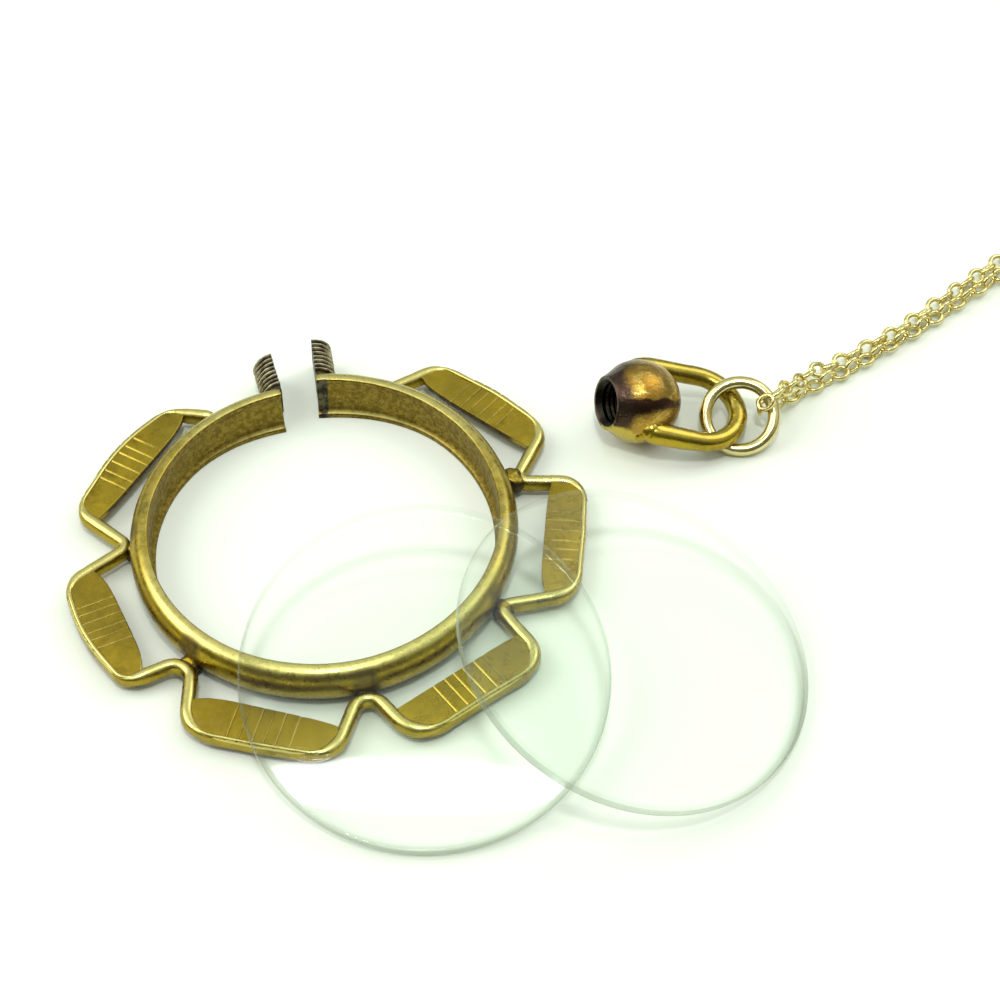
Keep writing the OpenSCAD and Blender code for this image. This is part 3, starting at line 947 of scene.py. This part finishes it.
def makeGlass(name, spec):
    g = glasses
    deselectAll()
    bpy.ops.mesh.primitive_cylinder_add(
        vertices=192, radius=g["radius"], depth=g["thick"], location=(0, 0, g["thick"] / 2)
    )
    ob = named(name)
    bpy.ops.object.transform_apply()
    useModifier(ob, "BEVEL", width=g["bevel"], segments=4, limit_method="ANGLE", angle_limit=rad(60))
    pick(ob)
    editMode()
    bpy.ops.mesh.select_all(action="DESELECT")
    bpy.context.tool_settings.mesh_select_mode = (False, False, True)
    editMode(False)
    for face in ob.data.polygons:
        face.select = abs(face.normal.z) > 0.99
    editMode()
    for width in g["bands"]:
        bpy.ops.mesh.inset(thickness=width)
    editMode(False)
    rise = g["radius"] * math.sin(rad(spec["tilt"])) + floorGap
    turn = turned(spec["uphill"], "Z") @ turned(-spec["tilt"], "Y")
    spot = Vector((*spec["place"], rise))
    place(ob, spot, turn)
    settle(ob, 30)

    def edge(p, n):
        local = turn.inverted() @ (p - spot)
        out = local.xy.length - g["radius"]
        # the lower edge, the rim seen through the glass, and its side; the far side hardly shows: painted
        # shade, darker on the near side and washed out on the far side
        lower = g["lowerEdge"] * fade(0.2 - local.z, 0, 0.12) * fade(out, -0.2, -0.05)
        inner = g["innerEdge"] * fade(out, -0.5, -0.35)
        side = g["sideEdge"] * fade(out, -0.06, -0.01)
        near = fade(0.3 - (p - spot).y / g["radius"], -0.4, 0.6)
        return (g["farShadeShare"] + (1 - g["farShadeShare"]) * near) * max(lower, inner, side)

    def shade(p, n):
        out = (turn.inverted() @ (p - spot)).xy.length - g["radius"]
        return g["shade"] * fade(out, -0.95, -0.55)

    paint(ob, "edge", edge)
    paint(ob, "shade", shade)
    return ob


finishPiece(makeGlass("frontGlass", glasses["front"]), clearGlass, "clear_glass", "front_glass")
finishPiece(makeGlass("backGlass", glasses["back"]), clearGlass, "clear_glass", "back_glass")

# The ball that screws on, with its bail

ball = dict(
    radius=3.3, centre=Vector((23.76, 12.28, 3.3)), socketYaw=199, socketPitch=15.5,
    mouthEnd=2.84, mouth=1.9, collar=2.15, bore=1.55, boreEnd=-1.36, threadStep=0.42, threadDepth=0.12,
    # from the collar's foot to the round of the ball: out and along
    shoulder=[(2.29, 2.5), (2.48, 2.2), (2.7, 1.86), (2.88, 1.55)], shoulderAngle=66,
    lumps=(1.0, 0.09, 3), bailLumps=(1.3, 0.08), bailShade=0.6, bailWearAndHighlight=0.42,
    stainUp=Vector((0, 0.767, 0.642)), stainSolder=Vector((-1.5, -2.5, -1.3)), stainReach=2.4,
    bailWire=0.75, bailBend=3.35, bailCentre=4.75, nearFoot=1.3, farFoot=0.6,
    # how the wire's feet curve in to the ball, and how much thicker it is there
    nearCurve=[(-0.4, 0.5), (-0.2, 0.22), (0.0, 0.06)],
    farCurve=[(-0.2, -0.08), (-0.7, -0.3), (-1.2, -0.7), (-1.5, -1.2)],
    nearSwell=[1.22, 1.22, 1.2] + [1.19 - 0.02 * k for k in range(8)], farSwell=[1.02, 1.05, 1.05, 1.0],
    bailOffset=Vector((0, 0.35, 0.1)), bailYaw=-1.5, bailDroop=13, bailRoll=2,
    # the solder lumps at the near foot: place and size
    footSolder=[(-0.3, 0.2, 0.1, 0.9), (-0.9, 0.35, -0.5, 0.8), (-0.1, 0.5, 0.45, 0.7)],
)


def makeBall():
    b = ball
    side = [(0, b["boreEnd"]), (b["bore"] - 0.1, b["boreEnd"]), (b["bore"], b["boreEnd"] + 0.1)]
    end, step, r = b["mouthEnd"], b["threadStep"], b["radius"]
    spot = b["boreEnd"] + 0.3
    while spot < end - 0.6:
        side += [(b["bore"], spot), (b["bore"] + b["threadDepth"], spot + 0.18)]
        spot += step
    side += [(b["bore"], end - step), (b["mouth"] - 0.05, end - 0.05), (b["mouth"], end)]
    side += [(b["collar"] - 0.06, end), (b["collar"], end - 0.06)] + b["shoulder"]
    side += [(r * math.sin(rad(a)), r * math.cos(rad(a))) for a in range(b["shoulderAngle"], 180, 6)]
    side.append((0, -r))
    ob = drawLine("ballCap", [Vector((x, 0, z)) for x, z in side], close=False)
    bpy.ops.mesh.spin(steps=96, angle=rad(360), center=(0, 0, 0), axis=(0, 0, 1))
    cleanUp(ob)
    turn = turned(b["socketYaw"], "Z") @ turned(90 - b["socketPitch"], "Y")
    place(ob, b["centre"], turn)
    lumps(ob, *b["lumps"])
    settle(ob, 40)
    axis = (turn @ Vector((0, 0, 1))).normalized()

    def stainSpot(p):
        # how far across and up, as the stains lie
        q = p - b["centre"]
        return q.x, q.dot(b["stainUp"])

    def mouth(p, n):
        across, up = stainSpot(p)
        return max(fade((p - b["centre"]).dot(axis), 0.9, 2.6), 0.8 * fade(up - 0.9 * across, 1.2, 4.4))

    def aboveBand(p):
        across, up = stainSpot(p)
        return up - 0.3 - 0.12 * math.sin(4.1 * across) * fade(across, -1, 1)

    def band(p, n):
        across, up = stainSpot(p)
        return fade(-aboveBand(p), -0.1, 0.5) * fade(up + 1.7 - 0.2 * across, 0, 1.2)

    # a painted highlight: a bright jagged streak just above the band
    def line(p, n):
        across, _ = stainSpot(p)
        return (fade(0.24 - abs(aboveBand(p) - 0.22), 0, 0.2)
                * fade(across, -1.9, -0.8) * fade(1.9 - across, 0, 1.2))

    def yellow(p, n):
        return fade(b["stainReach"] - (p - b["centre"] - b["stainSolder"]).length, 0, 1.2)

    # the inside of the bore is painted almost black: painted shade in the hole
    def bore(p, n):
        q = p - b["centre"]
        along = q.dot(axis)
        return fade(b["mouth"] + 0.02 - (q - axis * along).length, 0, 0.12) * (along > -1.6)

    for name, rule in dict(mouth=mouth, band=band, line=line, solder=yellow, bore=bore).items():
        paint(ob, name, rule)
    return ob


def makeBail():
    b = ball
    near, far, reach, bend = b["nearFoot"], b["farFoot"], b["bailCentre"], b["bailBend"]
    line = [Vector((near + x, y - bend, 0)) for x, y in b["nearCurve"]]
    line += [Vector((near + 0.3 + (reach - near - 0.3) * k / 8, -bend, 0)) for k in range(8)]
    for a in range(-90, 91, 5):
        line.append(Vector((reach + bend * math.cos(rad(a)), bend * math.sin(rad(a)), 0)))
    line += [Vector((reach - (reach - far - 0.2) * k / 8, bend, 0)) for k in range(1, 9)]
    line += [Vector((far + x, y + bend, 0)) for x, y in b["farCurve"]]
    plain = len(line) - len(b["nearSwell"]) - len(b["farSwell"])
    radii = b["nearSwell"] + [1.0] * plain + b["farSwell"]
    pieces = [sweep("bail", line, oval(2 * b["bailWire"], 2 * b["bailWire"], 28, 2.15), radii)]
    for x, y, z, size in b["footSolder"]:
        pieces.append(blob("footSolder", (near + x, y - bend, z), size))
    ob = joinUp("bail", pieces)
    turn = turned(b["bailYaw"], "Z") @ turned(b["bailDroop"], "Y") @ turned(b["bailRoll"], "X")
    lumps(ob, *b["bailLumps"])
    place(ob, b["centre"] + b["bailOffset"], turn)
    settle(ob, 60)
    # painted shade on the bail's underside
    paint(ob, "grimeAndShade", lambda p, n: b["bailShade"] * fade(-n.z, 0.1, 0.9))
    # wear and a painted highlight on the bail's top
    paint(ob, "wearAndHighlight", lambda p, n: b["bailWearAndHighlight"] * fade(n.z, 0.2, 0.9))
    return ob


finishPiece(makeBall(), heatBall, "ball_brass", "ball_cap")
finishPiece(makeBail(), bailBrass, "ball_brass", "ball_cap")

# The jump ring

jump = dict(radius=2.7, wire=0.51, lean=31, facing=-98, place=(31.78, 12.12), lumps=(1.5, 0.04))


def makeJumpRing():
    j = jump
    deselectAll()
    bpy.ops.mesh.primitive_torus_add(
        major_segments=128, minor_segments=20, major_radius=j["radius"], minor_radius=j["wire"]
    )
    ob = named("jumpRing")
    lumps(ob, *j["lumps"])
    turn = turned(j["facing"], "Z") @ turned(j["lean"], "Y")
    place(ob, (*j["place"], j["wire"] + floorGap + j["radius"] * math.sin(rad(j["lean"]))), turn)
    settle(ob, 60)
    return ob


finishPiece(makeJumpRing(), paleGold, "pale_gold", "jump_ring")

# The chain

chain = dict(
    thick=0.95, pitch=1.3, linkLong=1.82, linkWide=1.48, wire=0.2, lowest=0.58,
    faceCamera=33, returnTurn=40, wobble=10,
    clasp=(184.5, 66), claspTurn=96, claspLong=8, claspRadius=1.3, claspBevel=0.28,
    seam=(-0.4, -0.25, 0.25, 0.4), seamSize=0.88, eye=0.75, eyeWire=0.25,
    # from the clasp's far end, by the far strand to the jump ring, and back by the near strand
    route=[
        (183.9, 71.9, 0.5), (181, 82, 0.5), (168, 93, 0.5), (149, 101, 0.5), (128, 102, 0.5),
        (109, 97, 0.5), (92, 86, 0.5), (80, 72, 0.5), (73.5, 56, 0.5), (68.5, 44, 0.5), (61.9, 37.6, 0.5),
        (50.7, 27.6, 0.5), (45.1, 22.6, 0.5), (41, 19.8, 0.55), (39.6, 18.7, 0.8), (37.9, 17.5, 1.3),
        (36.8, 16, 1.8), (35.8, 14.7, 2.6), (34.9, 13.5, 3.4), (34.1, 12.6, 3.4), (33.5, 12.5, 2.9),
        (33.3, 12.8, 2.3), (33.5, 13.3, 1.7), (34.3, 13.7, 1.6), (35.3, 14.5, 1.1), (36.4, 15.4, 0.7),
        (38.6, 17, 0.5), (41.6, 19, 0.5), (45.6, 22, 0.5), (51.4, 26.8, 0.5), (63, 36.2, 0.5),
        (71, 39, 0.5), (79, 37, 0.5), (90, 28, 0.5), (105, 19, 0.5), (126, 15, 0.5), (147, 17, 0.5),
        (166, 24.5, 0.5), (181, 42, 0.5), (185.1, 60.1, 0.5),
    ],
)


def smoothRoute(points, steps=12):
    # a smooth curve through all the points
    pts = [Vector(p) for p in points]
    out = []
    for i in range(len(pts) - 1):
        a, b, c, d = pts[max(i - 1, 0)], pts[i], pts[i + 1], pts[min(i + 2, len(pts) - 1)]
        for k in range(steps):
            t = k / steps
            out.append((2 * b + (c - a) * t + (2 * a - 5 * b + 4 * c - d) * t * t
                        + (3 * b - a - 3 * c + d) * t ** 3) / 2)
    return out + [pts[-1]]


def makeChain():
    c = chain
    route = smoothRoute(c["route"])
    lengths = [0.0]
    for a, b in zip(route, route[1:]):
        lengths.append(lengths[-1] + (b - a).length)
    count = round(lengths[-1] / c["pitch"])
    step = lengths[-1] / count
    deselectAll()
    bpy.ops.mesh.primitive_torus_add(
        major_segments=14, minor_segments=6, major_radius=0.5, minor_radius=c["wire"]
    )
    first = named("chainLinks")
    bpy.ops.object.transform_apply()
    halfLong, halfWide = c["linkLong"] / 2 - c["wire"], c["linkWide"] / 2 - c["wire"]
    for v in first.data.vertices:      # an oval of the same wire
        ray = Vector((v.co.x, v.co.y, 0)).normalized()
        v.co = Vector((ray.x * halfLong, ray.y * halfWide, 0)) + (v.co - ray * 0.5)
    links, k = [], 0
    for i in range(count):
        want = (i + 0.5) * step
        while lengths[k + 1] < want:
            k += 1
        t = (want - lengths[k]) / (lengths[k + 1] - lengths[k])
        spot = route[k].lerp(route[k + 1], t)
        ahead = (route[min(k + 2, len(route) - 1)] - route[max(k - 1, 0)]).normalized()
        side = ahead.cross(Vector((0, 0, 1))).normalized()
        up = side.cross(ahead)
        facing = c["faceCamera"] if ahead.x < 0 else c["returnTurn"] - c["faceCamera"]
        roll = rad(facing + 90 * (i % 2) + c["wobble"] * math.sin(i * 2.3))
        across = side * math.cos(roll) + up * math.sin(roll)
        over = ahead.cross(across)
        droop = math.hypot(ahead.z * halfLong, across.z * halfWide)
        spot.z = max(spot.z, c["lowest"], droop + c["wire"] + floorGap)
        copy = first.copy()
        copy.data = first.data.copy()
        link(copy)
        copy.matrix_world = Matrix.Translation(spot) @ Matrix((ahead, across, over)).transposed().to_4x4()
        links.append(copy)
    bpy.data.objects.remove(first)
    ob = joinUp("chainLinks", links)
    settle(ob, 70)
    print("chain", count, "links", round(lengths[-1], 1), "mm")
    return ob


def makeClasp():
    c = chain
    deselectAll()
    bpy.ops.mesh.primitive_cylinder_add(
        vertices=48, radius=c["claspRadius"], depth=c["claspLong"],
        location=(0, 0, c["claspRadius"] + floorGap), rotation=(0, rad(90), 0),
    )
    barrel = named("claspBarrel")
    bpy.ops.object.transform_apply()
    pick(barrel)
    editMode()
    for spot in c["seam"]:      # where the barrel unscrews
        selectAll()
        bpy.ops.mesh.bisect(plane_co=(spot, 0, 0), plane_no=(1, 0, 0))
    editMode(False)
    middle = Vector((0, 0, c["claspRadius"] + floorGap))
    for v in barrel.data.vertices:
        v.select = abs(abs(v.co.x) - c["seam"][2]) < 0.01
    bpy.context.tool_settings.mesh_select_mode = (True, False, False)
    editMode()
    bpy.ops.transform.resize(value=(1, c["seamSize"], c["seamSize"]), center_override=middle)
    editMode(False)
    useModifier(
        barrel, "BEVEL", width=c["claspBevel"], segments=4, limit_method="ANGLE", angle_limit=rad(60)
    )
    rings = [barrel]
    for side in (-1, 1):
        deselectAll()
        bpy.ops.mesh.primitive_torus_add(
            major_segments=40, minor_segments=12, major_radius=c["eye"], minor_radius=c["eyeWire"],
            location=(side * (c["claspLong"] / 2 + c["eye"]), 0, c["thick"] / 2 + floorGap),
        )
        rings.append(named("claspEye"))
    ob = joinUp("claspBarrel", rings)
    place(ob, (*c["clasp"], 0), turned(c["claspTurn"], "Z"))
    settle(ob, 40)
    return ob


finishPiece(makeChain(), chainGold, "chain_gold", "chain")
finishPiece(makeClasp(), chainGold, "chain_gold", "clasp")

# Floor, light and camera

studio = dict(
    floorSize=1.6, floorCentre=(0.05, 0, 0), floorPatches=30, floorRough=0.75,
    floorTones=[(0.875, 0.93, 0.845), (0.88, 0.933, 0.85)],
    skyStops=[(0.0, (0.18, 0.19, 0.17)), (0.4, (0.53, 0.565, 0.51)), (1.0, (0.88, 0.925, 0.85))],
    frontShade=0.3, shadeRange=(-0.75, -0.15),
    # name, place, aim, shape, size, power, tone
    lights=[
        ("softLeft", (-0.48, 0.04, 0.45), (0.012, 0, 0), "RECTANGLE", (0.5, 0.5), 2.0, (1, 0.99, 0.95)),
        ("softRight", (0.4, 0.3, 0.5), (0.012, 0, 0), "RECTANGLE", (0.4, 0.4), 1.0, (1, 1, 1)),
        ("overhead", (0.012, -0.15, 0.56), (0.012, 0, 0), "RECTANGLE", (0.06, 0.06), 0.76, (1, 1, 0.98)),
        ("window", (0.0205, 0.0296, 0.6), (0.0205, 0.0296, 0), "ELLIPSE", (0.1, 0.0155), 0.2, (1, 1, 1)),
    ],
)


def floorFinish():
    s = studio
    f = Finish("paleFloor")
    tone = f.mix(f.noise(s["floorPatches"], 2).over(0.3, 0.7), *s["floorTones"])
    return f.principled(Base_Color=tone, Roughness=s["floorRough"])


def skyFinish():
    # bright overhead, darker low down and on the photographer's side
    s = studio
    f = Finish("studioSky", "World", "Generated")
    spot = f.node("ShaderNodeSeparateXYZ", {}, {0: f.coords}, "Z")
    side = Signal(f, spot.socket.node.outputs["Y"])
    tone = f.node("ShaderNodeValToRGB", {"stops": s["skyStops"]}, {0: spot})
    shade = s["frontShade"] + (1 - s["frontShade"]) * side.over(*s["shadeRange"])
    return f.surface(f.node("ShaderNodeBackground", {}, {"Color": tone, "Strength": shade}))


def makeStudio():
    s = studio
    deselectAll()
    bpy.ops.mesh.primitive_plane_add(size=s["floorSize"], location=s["floorCentre"])
    floor = named("floor")
    bpy.ops.object.transform_apply()
    floor.data.materials.append(floorFinish())
    bpy.context.scene.world = skyFinish()
    for name, spot, aim, shape, size, power, tone in s["lights"]:
        data = bpy.data.lights.new(name, "AREA")
        data.shape = shape
        data.size, data.size_y = size
        data.energy = power
        data.color = tone
        lamp = bpy.data.objects.new(name, data)
        lamp.location = spot
        lamp.rotation_euler = (Vector(aim) - lamp.location).to_track_quat("-Z", "Y").to_euler()
        link(lamp)


photoView = dict(
    place=Vector((0.0130, -0.1193, 0.1483)), elevation=50.07, roll=0.66,
    focalPixels=2500, picturePixels=1000, sensor=36,
)


def makeCamera():
    v = photoView
    e, roll = rad(v["elevation"]), rad(v["roll"])
    forward = Vector((0, math.cos(e), -math.sin(e)))
    right = Vector((1, 0, 0))
    up = right.cross(forward)
    side = right * math.cos(roll) + up * math.sin(roll)
    top = up * math.cos(roll) - right * math.sin(roll)
    data = bpy.data.cameras.new("photoCamera")
    data.sensor_width = v["sensor"]
    data.lens = v["focalPixels"] / v["picturePixels"] * v["sensor"]
    data.clip_start = 0.01
    cam = bpy.data.objects.new("photoCamera", data)
    cam.matrix_world = Matrix.Translation(v["place"]) @ Matrix((side, top, -forward)).transposed().to_4x4()
    link(cam)
    bpy.context.scene.camera = cam


makeStudio()
makeCamera()
bpy.context.scene.view_settings.view_transform = "Standard"
print("studio ready")
